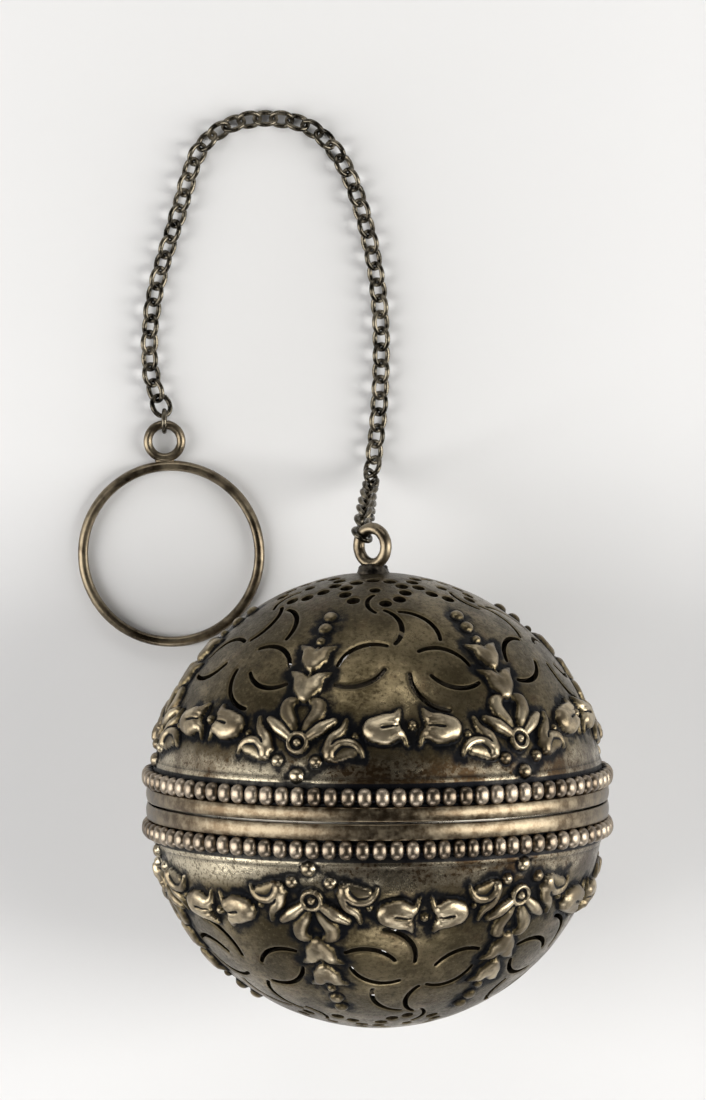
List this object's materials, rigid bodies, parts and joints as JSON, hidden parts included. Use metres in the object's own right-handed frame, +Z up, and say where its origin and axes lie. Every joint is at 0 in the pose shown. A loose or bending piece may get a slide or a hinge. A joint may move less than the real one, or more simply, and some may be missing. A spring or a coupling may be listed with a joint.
{
  "type": "tea infuser",
  "caption": "Pierced ball tea infuser in two push-fit half shells with beaded rims, and an eye, a link chain and a finger ring.",
  "frame": {"origin": "the point of the table straight under the ball's centre, where the ball lies on its side", "axes": "+Z up from the table, +Y along the ball's axis from the lower half to the eye, +X to the right seen from above with the eye at the far end"},
  "size_m": [0.0535, 0.0905, 0.0461],
  "materials": {
    "aged_silver_shell": "satin aged silver, dark in the hollows",
    "aged_silver_rim": "satin aged silver, bright on the beads",
    "ring_silver": "worn silver, nearly polished",
    "chain_silver": "darkened silver wire"
  },
  "bodies": {
    "base": {"lower_shell": "aged_silver_shell", "lower_rim_band": "aged_silver_rim", "lower_bead_ring": "aged_silver_rim", "inner_collar": "aged_silver_rim"},
    "lid": {"upper_shell": "aged_silver_shell", "upper_rim_band": "aged_silver_rim", "upper_bead_ring": "aged_silver_rim", "eye_base": "ring_silver", "top_eye": "ring_silver"},
    "chain_1": {"chain_links_01": "chain_silver", "chain_links_02": "chain_silver", "chain_links_03": "chain_silver", "chain_links_04": "chain_silver", "chain_links_05": "chain_silver", "chain_links_06": "chain_silver", "chain_links_07": "chain_silver", "chain_links_08": "chain_silver", "chain_links_09": "chain_silver", "chain_links_10": "chain_silver", "chain_links_11": "chain_silver", "chain_links_12": "chain_silver"},
    "chain_2": {"chain_links_13": "chain_silver", "chain_links_14": "chain_silver", "chain_links_15": "chain_silver", "chain_links_16": "chain_silver", "chain_links_17": "chain_silver"},
    "chain_3": {"chain_links_18": "chain_silver", "chain_links_19": "chain_silver", "chain_links_20": "chain_silver", "chain_links_21": "chain_silver"},
    "chain_4": {"chain_links_22": "chain_silver", "chain_links_23": "chain_silver", "chain_links_24": "chain_silver", "chain_links_25": "chain_silver", "chain_links_26": "chain_silver"},
    "chain_5": {"chain_links_27": "chain_silver", "chain_links_28": "chain_silver", "chain_links_29": "chain_silver", "chain_links_30": "chain_silver", "chain_links_31": "chain_silver"},
    "finger_ring": {"finger_ring": "ring_silver", "ring_bail": "ring_silver"}
  },
  "joints": [
    {"name": "lid_lift", "type": "slide", "parent": "base", "child": "lid", "axis": [0, 1, 0], "range_m": [0, 0.035]},
    {"name": "chain_swing", "type": "hinge", "parent": "lid", "child": "chain_1", "pos_m": [-0.00142, 0.02589, 0.02215], "axis": [0.475, 0.7771, 0.4129], "range_deg": [0, 55]},
    {"name": "chain_turn_2", "type": "hinge", "parent": "chain_1", "child": "chain_2", "pos_m": [0.00047, 0.04916, 0.00093], "axis": [0, 0, 1], "range_deg": [-25, 5]},
    {"name": "chain_turn_3", "type": "hinge", "parent": "chain_2", "child": "chain_3", "pos_m": [-0.0044, 0.0648, 0.00093], "axis": [0, 0, 1], "range_deg": [-25, 5]},
    {"name": "chain_turn_4", "type": "hinge", "parent": "chain_3", "child": "chain_4", "pos_m": [-0.01645, 0.06581, 0.00093], "axis": [0, 0, 1], "range_deg": [-25, 5]},
    {"name": "chain_turn_5", "type": "hinge", "parent": "chain_4", "child": "chain_5", "pos_m": [-0.02223, 0.05048, 0.00093], "axis": [0, 0, 1], "range_deg": [-25, 5]},
    {"name": "ring_swing", "type": "hinge", "parent": "chain_5", "child": "finger_ring", "pos_m": [-0.0215, 0.03638, 0.00108], "axis": [-1, 0, 0], "range_deg": [0, 80]}
  ]
}
